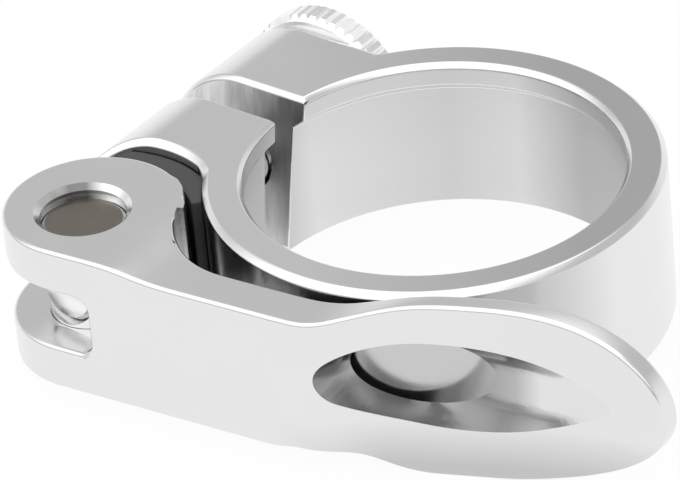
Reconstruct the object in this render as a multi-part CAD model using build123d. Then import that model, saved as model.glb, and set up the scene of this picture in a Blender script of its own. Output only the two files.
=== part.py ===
from build123d import *
import os
from math import atan2, cos, degrees, pi, radians, sin, sqrt

# Seatpost clamp with a quick-release lever, in millimetres.
# The bore's axis is Z, and the collar's lower rim lies in z = 0. The bolt runs along X, with the lever at -X
# and the nut at +X. The slot opens towards +Y.

# Collar: the seat tube goes in from below and stops at the lip
tube_radius = 15.9
collar_wall = 2.15
collar_height = 13.4
lip_inset = 1.0
lip_height = 1.9
lip_slope_height = 0.8
collar_edge = 0.5
bore_edge = 0.4

# Lugs, slot and bolt line
bolt_stand_off = 2.35
bolt_height = 6.9
lug_overhang = 0.75
lug_root_overlap = 0.3
slot_width = 3.4
slot_skew = 9.8
slot_edge = 0.3
far_lug_inset = 6.05
far_lug_round = 1.2
cam_lug_edge = 0.5
spot_face_clearance = 0.3
stud_radius = 2.4
lug_hole_clearance = 0.25

# Cam: the lever's head is a disc set off from the pin it turns on. It ends in a step beside the throat.
pin_stand_off = 0.1
cam_radius = 7.1
cam_offset_x = 0.88
cam_offset_y = -0.34
cam_end_angle = -63.0
saddle_thickness = 2.25
saddle_play = 0.08
saddle_flare = 1.0
saddle_inner_angle = 48.0
saddle_outer_angle = 20.0
saddle_tip_angle = 36.0
saddle_inset = 0.9
saddle_seat_clearance = 0.02

# Barrel pin
pin_radius = 3.35
pin_recess = 1.0
pin_edge = 0.3
pin_clearance = 0.05
thread_clearance = 0.03

# Lever heights above and below the bolt line. The stations are distances from the pin at which the head
# ends, the neck starts and ends, and the paddle reaches its full height.
head_height = 12.6
neck_above = 5.7
neck_below = 5.85
paddle_above = 7.35
paddle_below = 8.1
upper_stations = (4.4, 12.4, 21.4, 34.5)
lower_stations = (19.5, 23.6, 24.2, 32.0)
tip_start = 35.8
tip_reach = 49.35
tip_drop = 1.0
pin_hole_edge = 0.45

# Lever outline seen from above: a straight neck, a bend round the collar, then a sweep out to the tip.
# Turns to the left bring the lever towards the collar.
neck_lean = 5.5
neck_length = 22.0
neck_thickness = 3.7
bend_turn = 36.0
bend_radius = 5.0
ease_turn = -19.0
ease_radius = 20.0
paddle_run = 9.0
paddle_thickness = 1.8
tip_turn = -17.0
tip_radius = 34.0
tip_overrun = 4.0
throat_radius = 8.2
throat_start = 14.0
inner_bend_radius = 16.0
ring_clearance = 0.4

# Fork
fork_gap = 5.2
fork_depth = 4.4
fork_corner = 1.2

# Window scooped through the paddle: an ellipse at the front that narrows to a smaller one at the back,
# each with its place along the paddle, half length and half height
window_front = (-0.75, 11.4, 4.1)
window_back = (-4.85, 5.75, 2.9)
window_tilt = -3.3
window_plane_lead = 0.6
window_overrun = 1.5

# Knurled nut
nut_radius = 7.25
nut_band = 2.5
nut_crown = 1.5
nut_crown_radius = 5.2
nut_play = 0.05
nut_edge = 0.45
rib_count = 48
rib_depth = 0.35
groove_share = 0.5

# Stud
stud_pin_reach = 3.0
stud_nut_reach = 0.4
stud_edge = 0.5

# Places worked out from the sizes above
collar_radius = tube_radius + collar_wall
lip_radius = tube_radius - lip_inset
far_lug_reach = collar_radius - far_lug_inset
bolt_offset = collar_radius + bolt_stand_off
pin_x = -collar_radius - pin_stand_off
pin_y = bolt_offset
cam_x = pin_x + cam_offset_x
cam_y = pin_y + cam_offset_y
seat_radius = cam_radius + saddle_play + saddle_thickness
window_depth = window_plane_lead + paddle_thickness
nut_x = far_lug_reach + nut_play
nut_end_x = nut_x + nut_band + nut_crown
reach = 4 * collar_radius


def heading(lean):
    """Direction of travel in plan, leaning from -Y towards +X by the given degrees."""
    return Vector(sin(radians(lean)), -cos(radians(lean)))


def side(lean):
    """Direction to the collar side of that travel."""
    return Vector(cos(radians(lean)), sin(radians(lean)))


def meet(start_a, way_a, start_b, way_b):
    """Point where two lines in plan cross."""
    gap = start_b - start_a
    share = (gap.X * way_b.Y - gap.Y * way_b.X) / (way_a.X * way_b.Y - way_a.Y * way_b.X)
    return start_a + way_a * share


def along_bolt(shape, x):
    """Set a shape built about the Z axis on the bolt line, its base at x and its top towards +X."""
    return Pos(x, bolt_offset, bolt_height) * Rot(0, 90, 0) * shape


def upright(radius, x, y):
    """Cylinder through everything, parallel to the bore."""
    return Pos(x, y, bolt_height) * Cylinder(radius, reach)


def make_collar():
    # Lugs: a bar along the bolt with a round outer end, hollowed at one end for the cam's saddle
    round_y = bolt_offset + lug_overhang
    root_y = sqrt(collar_radius**2 - far_lug_reach**2) - lug_root_overlap
    lug_section = Plane.YZ * (
        Pos((root_y + round_y) / 2, collar_height / 2) * Rectangle(round_y - root_y, collar_height)
        + Pos(round_y, collar_height / 2) * Circle(collar_height / 2)
    )
    lugs = Pos(cam_x, 0, 0) * extrude(lug_section, far_lug_reach - cam_x)
    lugs = fillet(lugs.faces().sort_by(Axis.X)[-1].edges(), far_lug_round)
    lugs -= upright(seat_radius, cam_x, cam_y)
    seat = lugs.faces().filter_by(GeomType.CYLINDER).sort_by(Axis.X)[0]
    lugs = chamfer(seat.edges().filter_by(Axis.Z, reverse=True), cam_lug_edge)

    # Ring, with the spot face that clears the nut
    ring_profile = Polyline(
        (0, 0),
        (collar_radius - collar_edge, 0),
        (collar_radius, collar_edge),
        (collar_radius, collar_height - collar_edge),
        (collar_radius - collar_edge, collar_height),
        (0, collar_height),
        close=True,
    )
    blank = lugs + revolve(Plane.XZ * make_face(ring_profile), Axis.Z)
    spot_face = Cylinder(
        nut_radius + spot_face_clearance, reach, align=(Align.CENTER, Align.CENTER, Align.MIN)
    )
    blank -= along_bolt(spot_face, far_lug_reach)

    # Bore with its lip
    bore_profile = Polyline(
        (0, 0),
        (tube_radius, 0),
        (tube_radius, collar_height - lip_height - lip_slope_height),
        (lip_radius, collar_height - lip_height),
        (lip_radius, collar_height - bore_edge),
        (lip_radius + bore_edge, collar_height),
        (0, collar_height),
        close=True,
    )
    blank -= revolve(Plane.XZ * make_face(bore_profile), Axis.Z)

    # Slot, cut a little askew, with its outer edges broken
    skewed = Rot(0, slot_skew, 0)
    blank -= Pos(0, reach / 2, bolt_height) * skewed * Box(slot_width, reach, reach)
    slot_walls = blank.faces().filter_by(Axis((0, 0, 0), skewed.x_axis.direction))
    flat_edges = slot_walls.edges().filter_by(Axis.Y)
    round_edges = slot_walls.edges().sort_by(Axis.Y)[-2:]
    blank = chamfer(flat_edges + round_edges, slot_edge)
    return blank - along_bolt(Cylinder(stud_radius + lug_hole_clearance, reach), 0)


def lever_plan():
    # Outer edge, from the cam's front round to beyond the tip
    cam_centre = Vector(cam_x, cam_y)
    start = cam_centre - side(neck_lean) * cam_radius
    outer_neck = Line(start, start + heading(neck_lean) * neck_length)
    outer_bend = JernArc(outer_neck @ 1, outer_neck % 1, bend_radius, bend_turn)
    outer_ease = JernArc(outer_bend @ 1, outer_bend % 1, ease_radius, ease_turn)
    outer_run = Line(outer_ease @ 1, outer_ease @ 1 + (outer_ease % 1) * paddle_run)
    outer_tip = JernArc(outer_run @ 1, outer_run % 1, tip_radius, tip_turn)
    outer_end = Line(outer_tip @ 1, outer_tip @ 1 + (outer_tip % 1) * tip_overrun)

    # Inner edge, from the throat beside the cam down to beyond the tip
    throat_foot = start + heading(neck_lean) * throat_start + side(neck_lean) * neck_thickness
    throat_centre = throat_foot + side(neck_lean) * throat_radius
    to_cam = cam_centre - throat_centre
    throat_top = throat_centre + to_cam.normalized() * throat_radius
    to_cam_angle = degrees(atan2(to_cam.Y, to_cam.X))
    foot_angle = 180 + neck_lean
    throat = CenterArc(throat_centre, throat_radius, to_cam_angle, foot_angle - to_cam_angle)
    run_lean = neck_lean + bend_turn + ease_turn
    run_end = outer_run @ 1 + side(run_lean) * paddle_thickness
    inner_corner = meet(throat_foot, heading(neck_lean), run_end, heading(run_lean))
    inner_run = FilletPolyline(throat_foot, inner_corner, run_end, radius=inner_bend_radius)
    inner_tip = JernArc(run_end, heading(run_lean), tip_radius + paddle_thickness, tip_turn)
    inner_end = Line(inner_tip @ 1, inner_tip @ 1 + (inner_tip % 1) * tip_overrun)

    arm = make_face(
        Curve()
        + [
            outer_neck,
            outer_bend,
            outer_ease,
            outer_run,
            outer_tip,
            outer_end,
            Line(outer_end @ 1, inner_end @ 1),
            inner_end,
            inner_tip,
            inner_run,
            throat,
            Line(throat_top, cam_centre),
            Line(cam_centre, start),
        ]
    )
    plan = arm + Pos(cam_x, cam_y) * Circle(cam_radius)

    # The throat undercuts the cam as far as the step that ends the cam
    step_end = cam_centre + side(cam_end_angle) * reach
    step_side = Polyline(cam_centre, step_end, step_end + heading(cam_end_angle) * reach, close=True)
    plan -= Pos(throat_centre) * Circle(throat_radius) & make_face(step_side)
    plan -= Circle(collar_radius + ring_clearance)
    return plan, outer_run


def ease(start_y, start_z, end_y, end_z):
    """Curve that leaves one level and settles on another."""
    middle_y = (start_y + end_y) / 2
    return Bezier((start_y, start_z), (middle_y, start_z), (middle_y, end_z), (end_y, end_z))


def lever_side_view():
    """Height of the lever along Y: level head, slim neck, then the spoon-shaped paddle."""
    far_y = cam_y + 2 * cam_radius
    tip_start_y = pin_y - tip_start
    outline = [Line((far_y, -head_height / 2), (far_y, head_height / 2))]
    upper = (head_height / 2, neck_above, paddle_above, upper_stations, 90)
    lower = (-head_height / 2, -neck_below, -paddle_below, lower_stations, 180)
    for head, neck, paddle, stations, tip_angle in (upper, lower):
        head_end_y, neck_start_y, neck_end_y, paddle_y = (pin_y - station for station in stations)
        outline += [
            Line((far_y, head), (head_end_y, head)),
            ease(head_end_y, head, neck_start_y, neck),
            Line((neck_start_y, neck), (neck_end_y, neck)),
            ease(neck_end_y, neck, paddle_y, paddle),
            Line((paddle_y, paddle), (tip_start_y, paddle)),
            EllipticalCenterArc(
                (tip_start_y, -tip_drop),
                tip_reach - tip_start,
                abs(paddle + tip_drop),
                start_angle=tip_angle,
                arc_size=90,
            ),
        ]
    return Pos(0, bolt_height) * make_face(Curve() + outline)


def window_section(plane, depth):
    """Outline of the window at a depth behind its plane, between the front and the back ellipse."""
    share = depth / window_depth
    centre, length, height = (f + (b - f) * share for f, b in zip(window_front, window_back))
    return plane * Rot(0, 0, window_tilt) * Pos(centre, 0, -depth) * Ellipse(length, height)


def make_lever():
    plan, outer_run = lever_plan()

    # Outline from above crossed with the outline from the side
    blank = Pos(0, 0, -reach / 2) * extrude(plan, reach)
    blank &= Pos(-reach / 2, 0, 0) * extrude(Plane.YZ * lever_side_view(), reach)

    # Fork for the stud, and the pin's hole
    fork_length = 4 * cam_radius
    fork = RectangleRounded(fork_length, fork_gap, fork_corner)
    fork_middle_y = pin_y - fork_depth + fork_length / 2
    fork = extrude(Plane.YZ * Pos(fork_middle_y, bolt_height) * fork, reach)
    blank -= Pos(cam_x - reach / 2, 0, 0) * fork
    blank -= upright(pin_radius + pin_clearance, pin_x, pin_y)
    for rim, way in ((bolt_height + head_height / 2, 1), (bolt_height - head_height / 2, -1)):
        sink = Cone(
            pin_radius + pin_clearance,
            pin_radius + pin_clearance + pin_hole_edge,
            pin_hole_edge,
            align=(Align.CENTER, Align.CENTER, Align.MAX),
        )
        blank -= Pos(pin_x, pin_y, rim) * Rot(90 - 90 * way, 0, 0) * sink

    # Window through the paddle
    run_middle = outer_run @ 0.5
    run_way = outer_run % 0.5
    outward = Vector(run_way.Y, -run_way.X)
    plane = Plane(
        origin=Vector(run_middle.X, run_middle.Y, bolt_height) + outward * window_plane_lead,
        x_dir=run_way,
        z_dir=outward,
    )
    window = loft(
        [
            window_section(plane, -window_overrun),
            window_section(plane, window_depth + window_overrun),
        ]
    )
    blank -= window
    return blank


def make_barrel_pin():
    pin = Pos(pin_x, pin_y, bolt_height) * Cylinder(pin_radius, head_height - 2 * pin_recess)
    pin = chamfer(pin.edges().filter_by(GeomType.CIRCLE), pin_edge)
    return pin - along_bolt(Cylinder(stud_radius + thread_clearance, reach), pin_x)


def make_stud():
    start = pin_x - stud_pin_reach
    length = nut_end_x - stud_nut_reach - start
    rod = Cylinder(stud_radius, length, align=(Align.CENTER, Align.CENTER, Align.MIN))
    rod = chamfer(rod.edges().filter_by(GeomType.CIRCLE), stud_edge)
    return along_bolt(rod, start)


def make_cam_saddle():
    # The hollow is flatter than the cam, so that the cam rolls without digging into the saddle's ends
    height = head_height - 2 * saddle_inset
    shell = Circle(seat_radius - saddle_seat_clearance)
    shell -= Pos(saddle_play - saddle_flare, 0) * Circle(cam_radius + saddle_flare)
    shell &= make_face(
        Polyline(
            (0, 0),
            side(-saddle_inner_angle) * reach,
            side(saddle_outer_angle) * reach,
            side(saddle_outer_angle) * seat_radius,
            side(saddle_tip_angle) * cam_radius,
            close=True,
        )
    )
    saddle = Pos(cam_x, cam_y, bolt_height - height / 2) * extrude(shell, height)
    saddle -= upright(collar_radius + saddle_seat_clearance, 0, 0)
    return saddle - along_bolt(Cylinder(stud_radius + lug_hole_clearance, reach), cam_x)


def make_knurled_nut():
    # Ribbed band: flat ridges with a groove between each two, trimmed at both rims
    step = 2 * pi / rib_count
    outline = []
    for rib in range(rib_count):
        root = rib * step
        shoulder = groove_share * step / 2
        for angle, radius in (
            (root - shoulder, nut_radius),
            (root, nut_radius - rib_depth),
            (root + shoulder, nut_radius),
        ):
            outline.append((radius * cos(angle), radius * sin(angle)))
    band = extrude(make_face(Polyline(*outline, close=True)), nut_band)
    envelope = Polyline(
        (0, 0),
        (nut_radius - nut_edge, 0),
        (nut_radius, nut_edge),
        (nut_radius, nut_band - nut_edge),
        (nut_radius - nut_edge, nut_band),
        (0, nut_band),
        close=True,
    )
    band &= revolve(Plane.XZ * make_face(envelope), Axis.Z)

    # Smooth crown on the outer end
    crown_root = nut_radius - rib_depth - nut_edge
    crown = Cone(crown_root, nut_crown_radius, nut_crown, align=(Align.CENTER, Align.CENTER, Align.MIN))
    nut = band + Pos(0, 0, nut_band) * crown
    nut -= Cylinder(stud_radius + thread_clearance, reach)
    return along_bolt(nut, nut_x)


NODES = {
    "collar": make_collar,
    "lever": make_lever,
    "barrel_pin": make_barrel_pin,
    "stud": make_stud,
    "cam_saddle": make_cam_saddle,
    "knurled_nut": make_knurled_nut,
}

os.makedirs("parts", exist_ok=True)
for name, make in NODES.items():
    export_step(make(), f"parts/{name}.step")
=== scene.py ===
"""Looks of a quick-release seatpost clamp: finishes, rounded edges, the stud's thread, light and camera."""

from math import cos, pi, radians, sin

import bmesh
import bpy
from mathutils import Matrix, Vector


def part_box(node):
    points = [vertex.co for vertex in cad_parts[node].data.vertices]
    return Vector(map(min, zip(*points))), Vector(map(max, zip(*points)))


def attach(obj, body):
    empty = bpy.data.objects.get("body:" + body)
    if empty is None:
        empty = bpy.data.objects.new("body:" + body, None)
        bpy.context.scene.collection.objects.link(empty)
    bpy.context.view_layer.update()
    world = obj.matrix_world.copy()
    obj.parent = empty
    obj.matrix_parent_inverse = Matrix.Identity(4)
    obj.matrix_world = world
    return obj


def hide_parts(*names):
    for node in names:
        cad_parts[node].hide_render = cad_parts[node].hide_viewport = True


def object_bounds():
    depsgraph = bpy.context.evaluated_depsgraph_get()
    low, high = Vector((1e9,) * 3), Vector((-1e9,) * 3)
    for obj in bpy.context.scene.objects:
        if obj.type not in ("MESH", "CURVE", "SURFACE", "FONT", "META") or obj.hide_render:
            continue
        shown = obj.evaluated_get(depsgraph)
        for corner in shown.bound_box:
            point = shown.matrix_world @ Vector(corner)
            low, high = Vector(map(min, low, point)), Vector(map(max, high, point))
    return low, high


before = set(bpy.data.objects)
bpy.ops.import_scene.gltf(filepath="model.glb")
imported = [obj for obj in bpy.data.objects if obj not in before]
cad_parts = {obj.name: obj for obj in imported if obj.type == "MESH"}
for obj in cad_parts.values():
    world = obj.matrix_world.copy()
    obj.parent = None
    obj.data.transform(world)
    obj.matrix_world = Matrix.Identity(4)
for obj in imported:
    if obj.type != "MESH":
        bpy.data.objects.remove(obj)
cad_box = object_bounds()
MM = 0.001

# Directions on the object; the last one runs level, from the lever's head over the ring to its other side
UP = (0.0, 0.0, 1.0)
TO_LEVER = (-1.0, 0.0, 0.0)
TO_TIP = (0.0, -1.0, 0.0)
TO_LUGS = (0.0, 1.0, 0.0)
OVER_RING = (0.636, -0.772, 0.0)

# Camera, as in the photograph: a long lens from the lever's side, turned a little about its own axis
VIEW_TURN = radians(50.5)
VIEW_HEIGHT = radians(32.86)
VIEW_ROLL = radians(-5.5)
VIEW_TARGET = Vector((3.96, 13.32, 0.0)) * MM
VIEW_DISTANCE = 525.2 * MM
VIEW_FAR = 10.0
LENS = 348.6
SENSOR = 36.0

# Studio: its tones by the sine of the direction's height, behind the object and on the lever's side, where
# a white wall stands, the shares of that side between which the wall comes in, and the floor
SKY = ((0.0, 0.95), (0.2, 0.9), (0.42, 0.58), (0.7, 0.61), (0.82, 1.35), (1.0, 1.5))
WHITE_SIDE = ((0.0, 0.35), (0.15, 0.4), (0.3, 1.2), (1.0, 1.5))
WALL_FROM = 0.1
WALL_FULL = 0.4
FLOOR_SIZE = 3.0
FLOOR_TONE = 0.96
SHADOW_SHARE = 0.05

# Thread of the stud, an M5 by the look of it: its groove takes a share of the pitch, each pitch has some
# steps, and the stud's ends are chamfered
THREAD_PITCH = 0.8 * MM
THREAD_DEPTH = 0.42 * MM
THREAD_GROOVE = 5 / 6
THREAD_STEPS = 8
THREAD_SIDES = 40
STUD_EDGE = 0.5 * MM

# Edges are broken by hand polishing: how far and in how many steps, the turn between faces that counts as
# an edge, the turn that counts as flat, the rise of an upright edge, and how near two points are one
RIM_ROUND = 0.35 * MM
RIM_STEPS = 4
FINE_EDGE = 0.1 * MM
SADDLE_EDGE = 0.25 * MM
FINE_STEPS = 2
EDGE_TURN = radians(30)
FLAT_TURN = radians(0.5)
UPRIGHT = 5.0 * MM
SAME_PLACE = 0.0001 * MM

# The lever's arm is cut across into slabs below this line, with a thick one at the tip. Turns inside a slab
# are joined, points that lie a short way apart on its rims too, and slivers left by the rounding go.
ARM_START = 12.0 * MM
SLAB = 0.5 * MM
TIP_SLAB = 3.0 * MM
SLAB_TURN = radians(4)
SHORT = 0.3 * MM
SLIVER = 0.005 * MM

# The corner where the cam's seat runs into the ring, on the lever's side of this line, and the short edges
# that carry it on over the rims
CORNER_SIDE = -8.0 * MM
CORNER_TURN = radians(20)
CORNER_ROUND = 1.2 * MM
CORNER_STEPS = 6
CARRY_TURN = radians(10)
CARRY_RISE = 0.02 * MM

# Where the painted shade changes: over the ring, along the window, on the ring's wall towards the lever,
# down the foot of the paddle, along the slot's walls, down the saddle and along the bolt from its middle;
# and up the pin, to its brownish end
RING_REACH = 18.0 * MM
WINDOW_STEEP = 4.0 * MM
WINDOW_RUNOUT = 20.0 * MM
RING_OPEN = 2.0 * MM
RING_COVERED = 8.0 * MM
FOOT_TOP = 3.9 * MM
FOOT_BOTTOM = -0.1 * MM
PADDLE_FULL = 8.0 * MM
SLOT_DARK = 16.0 * MM
SLOT_LIGHT = 21.0 * MM
SADDLE_LOW = 8.0 * MM
SADDLE_HIGH = 13.0 * MM
BOLT_BRIGHT = 12.0 * MM
PIN_SIDE_TOP = 10.0 * MM
PIN_END = 11.0 * MM

# How far a normal rises where an upper face, an upright wall or the window's lower wall begins, and where
# it is one in full
UPPER_FACE = (0.8, 0.95)
UPRIGHT_WALL = (0.5, 0.2)
LOWER_WALL = (0.15, 0.5)

# The nut's one tone, and the brownish colour of the pin's end
NUT_TONE = 0.98
PIN_BROWN = (0.235, 0.215, 0.185, 1.0)

# Regions with a finish or painted shade of their own, known by their place and by how their normals stand:
# the bore's wall inside this radius, the slot's walls beyond this line and this near to its middle, the
# window on the paddle, which starts at this line, with the strips that share enough of its border, and the
# pin's hole
BORE_RADIUS = 16.2 * MM
BORE_STEEP = 0.5
SLOT_ROOT = 14.0 * MM
SLOT_HALF = 3.2 * MM
SLOT_FACING = 0.9
PADDLE_START = 0.0
NO_SLOPE = 0.02
STRIP_SHARE = 0.4
HOLE_REACH = 1.0 * MM
HOLE_STEEP = 0.9

# The cam's step has edges that rise more than this, and the edges within this reach of them stay sharp
STEP_RISE = 2.0 * MM
STEP_REACH = 1.0 * MM

# A face's finish, or the painted shade of the pin's hole, by its place in the list that its piece gets: the
# collar's two, then the lever's two
PLAIN = 0
BORED = 1
MILLED = 2
SCOOPED = 1
PIN_HOLE_SHADE = 2


def corners(name):
    """The low and the high corner of a CAD node's box."""
    return [Vector(corner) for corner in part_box(name)]


# The barrel pin's middle and radius, from the frame
pin_low, pin_high = corners("barrel_pin")
PIN_MIDDLE = (pin_low + pin_high) / 2
PIN_RADIUS = (pin_high.x - pin_low.x) / 2


def grey(tone):
    """A grey colour."""
    return (tone, tone, tone, 1.0)


def node(tree, kind, **values):
    """A shader node with its inputs and properties set by name."""
    made = tree.nodes.new(kind)
    for name, value in values.items():
        if name in made.inputs:
            made.inputs[name].default_value = value
        else:
            setattr(made, name, value)
    return made


def feed(tree, value, socket):
    """Link an output to a socket, or set the socket to a number or a colour."""
    if isinstance(value, bpy.types.NodeSocket):
        tree.links.new(value, socket)
    else:
        socket.default_value = value


def calculate(tree, operation, first, second):
    """A math node fed by outputs or numbers."""
    made = node(tree, "ShaderNodeMath", operation=operation)
    feed(tree, first, made.inputs[0])
    feed(tree, second, made.inputs[1])
    return made.outputs[0]


def spread(tree, value, low, high):
    """Carry a 0 to 1 value to a range."""
    made = node(tree, "ShaderNodeMapRange", **{"To Min": low, "To Max": high})
    feed(tree, value, made.inputs["Value"])
    return made.outputs["Result"]


def along(tree, place, way, start, end):
    """How far a point or a normal reaches from start to end along a direction, as 0 to 1."""
    reach = node(tree, "ShaderNodeVectorMath", operation="DOT_PRODUCT")
    feed(tree, place, reach.inputs[0])
    feed(tree, way, reach.inputs[1])
    made = node(tree, "ShaderNodeMapRange", **{"From Min": start, "From Max": end})
    feed(tree, reach.outputs["Value"], made.inputs["Value"])
    return made.outputs["Result"]


def facing(tree, limits):
    """How far a face's normal rises between two limits, as 0 to 1."""
    normal = tree.nodes.new("ShaderNodeTexCoord").outputs["Normal"]
    return along(tree, normal, UP, *limits)


def noise(tree, place, scale, detail=3.0):
    """Cloudy noise, as 0 to 1."""
    made = node(tree, "ShaderNodeTexNoise", Scale=scale, Detail=detail)
    feed(tree, place, made.inputs["Vector"])
    return made.outputs["Fac"]


def streaks(tree, place, scales, detail):
    """Noise that is drawn out, with a scale for each axis."""
    drawn = node(tree, "ShaderNodeMapping", Scale=scales)
    feed(tree, place, drawn.inputs["Vector"])
    return noise(tree, drawn.outputs["Vector"], scale=1.0, detail=detail)


def ramp(tree, value, stops):
    """Grey tones by a value, given as places and tones."""
    made = tree.nodes.new("ShaderNodeValToRGB")
    elements = made.color_ramp.elements
    elements.remove(elements[1])
    elements[0].position = stops[0][0]
    for position, _ in stops[1:]:
        elements.new(position)
    for element, (_, tone) in zip(elements, stops):
        element.color = grey(tone)
    feed(tree, value, made.inputs["Fac"])
    return made.outputs["Color"]


def blend(tree, first, second):
    """Two tones multiplied."""
    made = node(tree, "ShaderNodeVectorMath", operation="MULTIPLY")
    feed(tree, first, made.inputs[0])
    feed(tree, second, made.inputs[1])
    return made.outputs["Vector"]


def fade(tree, share, first, second):
    """One colour that turns into another as a share grows."""
    made = node(tree, "ShaderNodeMix", data_type="RGBA")
    feed(tree, share, made.inputs["Factor"])
    feed(tree, first, made.inputs["A"])
    feed(tree, second, made.inputs["B"])
    return made.outputs["Result"]


def mixed_output(tree, kind, share, first, second):
    """Send two shaders to an output of a kind, the second with a share."""
    mix = tree.nodes.new("ShaderNodeMixShader")
    feed(tree, share, mix.inputs["Fac"])
    feed(tree, first.outputs[0], mix.inputs[1])
    feed(tree, second.outputs[0], mix.inputs[2])
    out = tree.nodes.new(kind)
    feed(tree, mix.outputs[0], out.inputs["Surface"])


def material(name, metallic):
    """A node material: itself, its tree, its principled shader and the place on the object."""
    made = bpy.data.materials.new(name)
    made.use_nodes = True
    tree = made.node_tree
    shader = tree.nodes["Principled BSDF"]
    shader.inputs["Metallic"].default_value = metallic
    place = tree.nodes.new("ShaderNodeTexCoord").outputs["Object"]
    return made, tree, shader, place


def surface(tree, shader, tones, gloss, rough, grain, depth, strength):
    """Give a shader its tones, a roughness that follows the gloss pattern, and the grain's fine bumps."""
    feed(tree, tones, shader.inputs["Base Color"])
    feed(tree, spread(tree, gloss, *rough), shader.inputs["Roughness"])
    bumps = node(tree, "ShaderNodeBump", Distance=depth, Strength=strength)
    feed(tree, grain, bumps.inputs["Height"])
    feed(tree, bumps.outputs["Normal"], shader.inputs["Normal"])


def collar_painted_shade(tree, place):
    """Painted shade: upper faces darken over the ring, away from the lever's head, and its wall towards the
    lever.
    """
    over = along(tree, place, OVER_RING, -RING_REACH, RING_REACH)
    top = calculate(tree, "MULTIPLY", over, facing(tree, UPPER_FACE))
    covered = along(tree, place, TO_LEVER, RING_OPEN, RING_COVERED)
    wall = calculate(tree, "MULTIPLY", covered, facing(tree, UPRIGHT_WALL))
    top_painted_shade = ramp(tree, top, ((0.2, 0.82), (0.8, 0.6)))
    wall_painted_shade = ramp(tree, wall, ((0.0, 1.0), (1.0, 0.72)))
    return blend(tree, top_painted_shade, wall_painted_shade)


def hole_painted_shade(tree, place):
    """Painted shade and highlights on the wall of the pin's hole: dark at the back, bright at the sides."""
    middle = PIN_MIDDLE.dot(Vector(OVER_RING))
    over = along(tree, place, OVER_RING, middle - PIN_RADIUS, middle + PIN_RADIUS)
    return ramp(tree, over, ((0.1, 0.7), (0.35, 0.2), (0.55, 0.2), (0.8, 0.9)))


def lever_painted_shade(tree, place):
    """Painted shade: the paddle darkens towards its foot."""
    foot = along(tree, place, UP, FOOT_TOP, FOOT_BOTTOM)
    share = calculate(tree, "MULTIPLY", foot, along(tree, place, TO_TIP, PADDLE_START, PADDLE_FULL))
    return ramp(tree, share, ((0.0, 0.81), (1.0, 0.56)))


def polished_aluminium(name, tones):
    """Polished silver in one colour, or with painted shade that a function lays over the object."""
    made, tree, shader, place = material(name, metallic=1.0)
    if callable(tones):
        tones = tones(tree, place)
    cloud = noise(tree, place, scale=180.0)
    grain = noise(tree, place, scale=2600.0)
    surface(
        tree, shader, tones, gloss=cloud, rough=(0.14, 0.24), grain=grain, depth=0.02 * MM, strength=0.12
    )
    return made


def bored_aluminium(name):
    """Turned wall of the bore: satin, with fine rings along its height, and painted shade and reflections
    in bands across the ring.
    """
    made, tree, shader, place = material(name, metallic=1.0)
    over = along(tree, place, OVER_RING, -RING_REACH, RING_REACH)
    tones = ramp(tree, over, ((0.12, 0.51), (0.24, 0.8), (0.55, 0.68), (0.7, 0.76), (0.83, 0.5)))
    rings = streaks(tree, place, scales=(60.0, 60.0, 9000.0), detail=4.0)
    surface(
        tree, shader, tones, gloss=rings, rough=(0.26, 0.4), grain=rings, depth=0.01 * MM, strength=0.35
    )
    return made


def milled_aluminium(name):
    """Sawn walls of the slot: streaks that run up and down, and painted shade that darkens them deeper in,
    towards the bore.
    """
    made, tree, shader, place = material(name, metallic=1.0)
    marks = streaks(tree, place, scales=(900.0, 900.0, 60.0), detail=3.0)
    mark_tones = ramp(tree, marks, ((0.3, 0.55), (0.7, 1.0)))
    slot_painted_shade = ramp(tree, along(tree, place, TO_LUGS, SLOT_DARK, SLOT_LIGHT), ((0.0, 0.58), (1.0, 1.0)))
    tones = blend(tree, mark_tones, slot_painted_shade)
    surface(
        tree, shader, tones, gloss=marks, rough=(0.25, 0.45), grain=marks, depth=0.06 * MM, strength=0.6
    )
    return made


def scooped_aluminium(name):
    """The window's walls, with painted shade: dark where the scoop is steep, as bright as the paddle where
    it runs out, and darker on the outer part of the lower wall."""
    made, tree, shader, place = material(name, metallic=1.0)
    outward = along(tree, place, TO_TIP, WINDOW_STEEP, WINDOW_RUNOUT)
    scoop = ((0.0, 0.32), (0.06, 0.5), (0.25, 0.29), (0.56, 0.31), (0.8, 0.5), (0.93, 0.8))
    lower = calculate(tree, "MULTIPLY", outward, facing(tree, LOWER_WALL))
    lower_painted_shade = ramp(tree, lower, ((0.5, 1.0), (0.75, 0.45)))
    tones = blend(tree, ramp(tree, outward, scoop), lower_painted_shade)
    marks = streaks(tree, place, scales=(200.0, 200.0, 1500.0), detail=4.0)
    surface(
        tree, shader, tones, gloss=marks, rough=(0.16, 0.3), grain=marks, depth=0.05 * MM, strength=0.4
    )
    return made


def plated_steel(name):
    """Bright steel with painted shade along the bolt's middle in the collar's slot, and a dull and brownish
    upper end.
    """
    made, tree, shader, place = material(name, metallic=1.0)
    along_bolt = along(tree, place, TO_LEVER, -BOLT_BRIGHT, BOLT_BRIGHT)
    bolt_painted_shade = ramp(tree, along_bolt, ((0.0, 0.88), (0.25, 0.4), (0.75, 0.4), (1.0, 0.88)))
    at_end = along(tree, place, UP, PIN_SIDE_TOP, PIN_END)
    end_face = calculate(tree, "MULTIPLY", at_end, facing(tree, UPPER_FACE))
    tones = fade(tree, end_face, bolt_painted_shade, PIN_BROWN)
    cloud = noise(tree, place, scale=700.0, detail=5.0)
    grain = noise(tree, place, scale=1500.0)
    surface(
        tree, shader, tones, gloss=cloud, rough=(0.15, 0.35), grain=grain, depth=0.04 * MM, strength=0.3
    )
    return made


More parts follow.
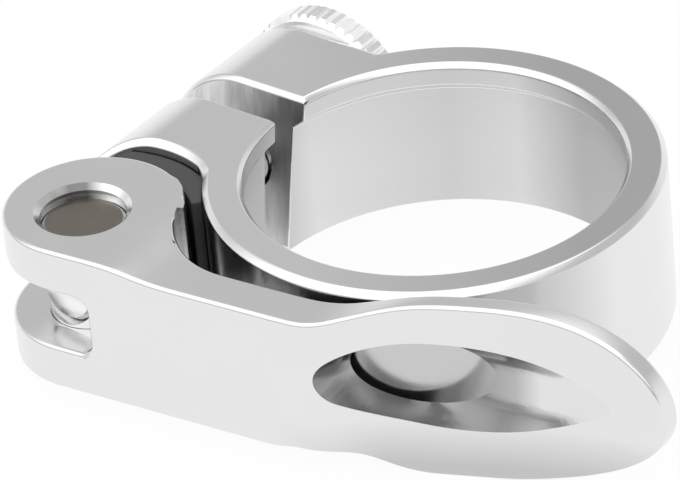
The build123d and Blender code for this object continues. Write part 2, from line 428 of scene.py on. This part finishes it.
def black_plastic(name):
    """Satin black, with painted light and shade that make it lighter towards the top."""
    made, tree, shader, place = material(name, metallic=0.0)
    height = along(tree, place, UP, SADDLE_LOW, SADDLE_HIGH)
    tones = ramp(tree, height, ((0.0, 0.008), (1.0, 0.06)))
    cloud = noise(tree, place, scale=400.0)
    grain = noise(tree, place, scale=3000.0)
    surface(
        tree, shader, tones, gloss=cloud, rough=(0.35, 0.5), grain=grain, depth=0.03 * MM, strength=0.2
    )
    return made


def show(name, data):
    """An object of the data, put into the scene."""
    shown = bpy.data.objects.new(name, data)
    bpy.context.collection.objects.link(shown)
    return shown


def copy_shape(source):
    """A CAD node's mesh, ready to be worked on."""
    shape = bmesh.new()
    shape.from_mesh(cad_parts[source].data)
    bmesh.ops.remove_doubles(shape, verts=shape.verts, dist=SAME_PLACE)
    return shape


def join_flat(shape, limit, inside):
    """Join faces that turn less than the limit, among the edges and points that lie inside."""
    verts = [vert for vert in shape.verts if inside(vert)]
    edges = [edge for edge in shape.edges if all(inside(vert) for vert in edge.verts)]
    bmesh.ops.dissolve_limit(shape, angle_limit=limit, verts=verts, edges=edges, delimit={"SEAM"})


def round_edges(shape, edges, width, steps):
    """Round edges by a width, in steps."""
    bmesh.ops.bevel(
        shape,
        geom=edges,
        offset=width,
        offset_type="OFFSET",
        segments=steps,
        profile=0.5,
        affect="EDGES",
        clamp_overlap=False,
        loop_slide=True,
    )


def rise(edge):
    """How far an edge climbs."""
    return abs(edge.verts[0].co.z - edge.verts[1].co.z)


def middle_of(edge):
    """The place halfway along an edge."""
    return (edge.verts[0].co + edge.verts[1].co) / 2


def sharp_edges(shape):
    """The edges at which two faces turn enough."""
    return [edge for edge in shape.edges if edge.calc_face_angle(0.0) > EDGE_TURN]


def finished_piece(name, shape):
    """An object of the shape, each corner shaded by the faces of its finish about it, large ones more."""
    mesh = bpy.data.meshes.new(name)
    shape.to_mesh(mesh)
    shape.free()
    around = [[] for _ in mesh.vertices]
    for face in mesh.polygons:
        face.use_smooth = True
        for vert in face.vertices:
            around[vert].append((face.normal.copy(), face.area, face.material_index))
    normals = []
    for face in mesh.polygons:
        for vert in face.vertices:
            total = Vector()
            for normal, area, finish in around[vert]:
                if finish == face.material_index and face.normal.angle(normal, 0.0) < EDGE_TURN:
                    total += normal * area
            normals.append(total.normalized())
    mesh.normals_split_custom_set(normals)
    return show(name, mesh)


def corner_edges(shape):
    """The corner beside the cam's seat, and the short edges that carry it on over the rims."""
    corner = []
    for edge in shape.edges:
        beside_seat = all(vert.co.x < CORNER_SIDE for vert in edge.verts)
        if beside_seat and rise(edge) > UPRIGHT and edge.calc_face_angle(0.0) > CORNER_TURN:
            corner.append(edge)
    waiting = corner[:]
    while waiting:
        edge = waiting.pop(0)
        for near in edge.verts[0].link_edges[:] + edge.verts[1].link_edges[:]:
            turned = near.calc_face_angle(0.0) > CARRY_TURN
            if turned and rise(near) > CARRY_RISE and near not in corner:
                corner.append(near)
                waiting.append(near)
    return corner


def build_collar():
    """The collar with its edges broken, and finishes of their own with painted shade in its bore and its
    slot.
    """
    shape = copy_shape("collar")
    join_flat(shape, FLAT_TURN, lambda vert: True)
    round_edges(shape, corner_edges(shape), CORNER_ROUND, CORNER_STEPS)
    for face in shape.faces:
        centre = face.calc_center_median()
        in_slot = centre.y > SLOT_ROOT and abs(centre.x) < SLOT_HALF
        if abs(face.normal.z) < BORE_STEEP and centre.xy.length < BORE_RADIUS:
            face.material_index = BORED
        elif in_slot and abs(face.normal.x) > SLOT_FACING:
            face.material_index = MILLED
        else:
            face.material_index = PLAIN
    round_edges(shape, sharp_edges(shape), FINE_EDGE, FINE_STEPS)
    return finished_piece("collar_body", shape)


def cut_across(shape):
    """Cut the lever's arm into slabs, so that its rims have even faces to be rounded from."""
    across = min(vert.co.y for vert in shape.verts) + TIP_SLAB
    while across < ARM_START:
        everything = shape.verts[:] + shape.edges[:] + shape.faces[:]
        cut = bmesh.ops.bisect_plane(
            shape, geom=everything, dist=SAME_PLACE, plane_co=(0.0, across, 0.0), plane_no=TO_LUGS
        )
        for item in cut["geom_cut"]:
            if isinstance(item, bmesh.types.BMEdge):
                item.seam = True
        across += SLAB
    join_flat(shape, SLAB_TURN, lambda vert: vert.co.y < ARM_START)
    join_flat(shape, FLAT_TURN, lambda vert: vert.co.y >= ARM_START)


def draw_together(shape):
    """Join the points that lie close on the arm's rims, which leave the rounding no room."""
    points = set()
    for edge in sharp_edges(shape):
        if any(abs(face.normal.x) < NO_SLOPE for face in edge.link_faces):
            points.update(vert for vert in edge.verts if vert.co.y < ARM_START)

    # In the mesh's own order, so that each run joins the same points
    in_order = [vert for vert in shape.verts if vert in points]
    bmesh.ops.remove_doubles(shape, verts=in_order, dist=SHORT)


def window_faces(shape):
    """The scooped window: the paddle's faces that slope both ways, and the strips that lie between them."""
    found = set()
    for face in shape.faces:
        on_paddle = face.calc_center_median().y < PADDLE_START
        if on_paddle and abs(face.normal.x) > NO_SLOPE and abs(face.normal.z) > NO_SLOPE:
            found.add(face)
    strips = found
    while strips:
        strips = set()
        for face in set(shape.faces) - found:
            shared = sum(edge.calc_length() for edge in face.edges if found.intersection(edge.link_faces))
            if shared > STRIP_SHARE * face.calc_perimeter():
                strips.add(face)
        found |= strips
    return found


def by_pin(place):
    """Whether a place lies in the pin's hole or on its chamfers."""
    return (place - PIN_MIDDLE).xy.length < PIN_RADIUS + HOLE_REACH


def lever_rims(shape):
    """The edges to round. The window, the pin's hole, the cam's step and tall edges stay sharp."""
    sharp = sharp_edges(shape)
    steps = [middle_of(edge) for edge in sharp if rise(edge) > STEP_RISE]
    steps = [step for step in steps if step.y > ARM_START and step.x > PIN_MIDDLE.x]
    rims = []
    for edge in sharp:
        middle = middle_of(edge)
        by_window = any(face.material_index == SCOOPED for vert in edge.verts for face in vert.link_faces)
        by_step = any((middle - step).xy.length < STEP_REACH for step in steps)
        if not (by_window or by_pin(middle) or by_step or rise(edge) > UPRIGHT):
            rims.append(edge)
    return rims


def build_lever():
    """The lever with its rims rounded, a finish of its own with painted shade in its window, and painted
    shade in the pin's hole.
    """
    shape = copy_shape("lever")
    cut_across(shape)
    draw_together(shape)
    window = window_faces(shape)
    for face in shape.faces:
        if face in window:
            face.material_index = SCOOPED
        elif by_pin(face.calc_center_median()) and abs(face.normal.z) < HOLE_STEEP:
            face.material_index = PIN_HOLE_SHADE
        else:
            face.material_index = PLAIN
    round_edges(shape, lever_rims(shape), RIM_ROUND, RIM_STEPS)
    bmesh.ops.dissolve_degenerate(shape, dist=SLIVER, edges=shape.edges)
    loose = [edge for edge in shape.edges if not edge.link_faces]
    bmesh.ops.delete(shape, geom=loose, context="EDGES")
    return finished_piece("lever_body", shape)


def build_saddle():
    """The saddle with its edges broken."""
    shape = copy_shape("cam_saddle")
    join_flat(shape, FLAT_TURN, lambda vert: True)
    round_edges(shape, sharp_edges(shape), SADDLE_EDGE, FINE_STEPS)
    return finished_piece("saddle_body", shape)


def build_thread():
    """The stud with its thread: a rod whose radius follows a helix, tapered at both ends."""
    low, high = corners("stud")
    radius = (high.y - low.y) / 2
    centre = (low + high) / 2
    length = high.x - low.x
    rows = int(length / THREAD_PITCH * THREAD_STEPS)
    verts = []
    for row in range(rows + 1):
        x = length * row / rows
        taper = radius - STUD_EDGE + min(x, length - x)
        for side in range(THREAD_SIDES):
            turn = side / THREAD_SIDES
            phase = (x / THREAD_PITCH - turn) % 1.0
            from_root = abs(2 * phase - 1.0)
            cut = THREAD_DEPTH * (1.0 - min(1.0, from_root / THREAD_GROOVE))
            reach = min(radius - cut, taper)
            angle = 2 * pi * turn
            verts.append((low.x + x, centre.y + reach * cos(angle), centre.z + reach * sin(angle)))
    faces = []
    for row in range(rows):
        for side in range(THREAD_SIDES):
            here = row * THREAD_SIDES + side
            beside = row * THREAD_SIDES + (side + 1) % THREAD_SIDES
            faces.append((here, beside, beside + THREAD_SIDES, here + THREAD_SIDES))
    faces.append(tuple(range(THREAD_SIDES - 1, -1, -1)))
    faces.append(tuple(rows * THREAD_SIDES + side for side in range(THREAD_SIDES)))
    mesh = bpy.data.meshes.new("stud_thread")
    mesh.from_pydata(verts, [], faces)
    mesh.validate()
    mesh.update()
    for face in mesh.polygons:
        face.use_smooth = True
    return show("stud_thread", mesh)


def build_floor():
    """A white floor that keeps a little of the object's shadow."""
    bpy.ops.mesh.primitive_plane_add(size=FLOOR_SIZE, location=(0, 0, cad_box[0][2]))
    floor = bpy.context.object
    floor.name = "floor"
    made = bpy.data.materials.new("floor_white")
    made.use_nodes = True
    tree = made.node_tree
    tree.nodes.clear()
    matte = node(tree, "ShaderNodeBsdfDiffuse", Color=grey(FLOOR_TONE))
    glow = node(tree, "ShaderNodeEmission", Color=grey(1.0), Strength=1.0)
    rays = tree.nodes.new("ShaderNodeLightPath")
    seen = calculate(tree, "ADD", rays.outputs["Is Camera Ray"], rays.outputs["Is Glossy Ray"])
    seen = calculate(tree, "ADD", seen, rays.outputs["Is Transmission Ray"])
    share = calculate(tree, "MULTIPLY", calculate(tree, "MINIMUM", seen, 1.0), 1.0 - SHADOW_SHARE)
    mixed_output(tree, "ShaderNodeOutputMaterial", share, matte, glow)
    floor.data.materials.append(made)


def build_world():
    """The studio: white overhead and on the lever's side, grey behind, plain white to the camera."""
    world = bpy.data.worlds.new("studio")
    bpy.context.scene.world = world
    world.use_nodes = True
    tree = world.node_tree
    tree.nodes.clear()
    way = tree.nodes.new("ShaderNodeTexCoord").outputs["Generated"]
    height = along(tree, way, UP, 0.0, 1.0)
    to_wall = along(tree, way, TO_LEVER, WALL_FROM, WALL_FULL)
    tones = fade(tree, to_wall, ramp(tree, height, SKY), ramp(tree, height, WHITE_SIDE))
    studio = node(tree, "ShaderNodeBackground", Strength=1.0)
    feed(tree, tones, studio.inputs["Color"])
    white = node(tree, "ShaderNodeBackground", Color=grey(1.0), Strength=1.0)
    rays = tree.nodes.new("ShaderNodeLightPath")
    mixed_output(tree, "ShaderNodeOutputWorld", rays.outputs["Is Camera Ray"], studio, white)


def build_camera():
    """The photograph's camera."""
    right = Vector((cos(VIEW_TURN), -sin(VIEW_TURN), 0.0))
    back = Vector(
        (
            -cos(VIEW_HEIGHT) * sin(VIEW_TURN),
            -cos(VIEW_HEIGHT) * cos(VIEW_TURN),
            sin(VIEW_HEIGHT),
        )
    )
    up = back.cross(right)
    across = right * cos(VIEW_ROLL) + up * sin(VIEW_ROLL)
    upward = up * cos(VIEW_ROLL) - right * sin(VIEW_ROLL)
    data = bpy.data.cameras.new("camera")
    data.sensor_width = SENSOR
    data.lens = LENS
    data.clip_end = VIEW_FAR
    camera = show("camera", data)
    turn = Matrix((across, upward, back)).transposed().to_4x4()
    camera.matrix_world = Matrix.Translation(VIEW_TARGET + back * VIEW_DISTANCE) @ turn
    bpy.context.scene.camera = camera


def dress(name, finish):
    """Give a CAD node a material."""
    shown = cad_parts[name]
    shown.data.materials.clear()
    shown.data.materials.append(finish)


def place_piece(piece, body, node_name, *finishes):
    """Stand a piece in for a CAD node, on its body and with its finishes."""
    for finish in finishes:
        piece.data.materials.append(finish)
    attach(piece, body)
    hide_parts(node_name)


lever_silver = polished_aluminium("lever_silver", lever_painted_shade)
collar_silver = polished_aluminium("collar_silver", collar_painted_shade)
nut_silver = polished_aluminium("nut_silver", grey(NUT_TONE))
hole_silver = polished_aluminium("hole_silver", hole_painted_shade)
bored = bored_aluminium("bored_silver")
milled = milled_aluminium("milled_silver")
scooped = scooped_aluminium("scooped_silver")
# The steel carries painted shade along the middle of the bolt, where it lies in the collar
steel = plated_steel("worn_steel_with_painted_shade")
plastic = black_plastic("satin_black")
dress("knurled_nut", nut_silver)
dress("barrel_pin", steel)

place_piece(build_collar(), "clamp", "collar", collar_silver, bored, milled)
place_piece(build_lever(), "lever", "lever", lever_silver, scooped, hole_silver)
place_piece(build_saddle(), "clamp", "cam_saddle", plastic)
place_piece(build_thread(), "bolt", "stud", steel)

build_floor()
build_world()
build_camera()
bpy.context.scene.view_settings.view_transform = "Standard"
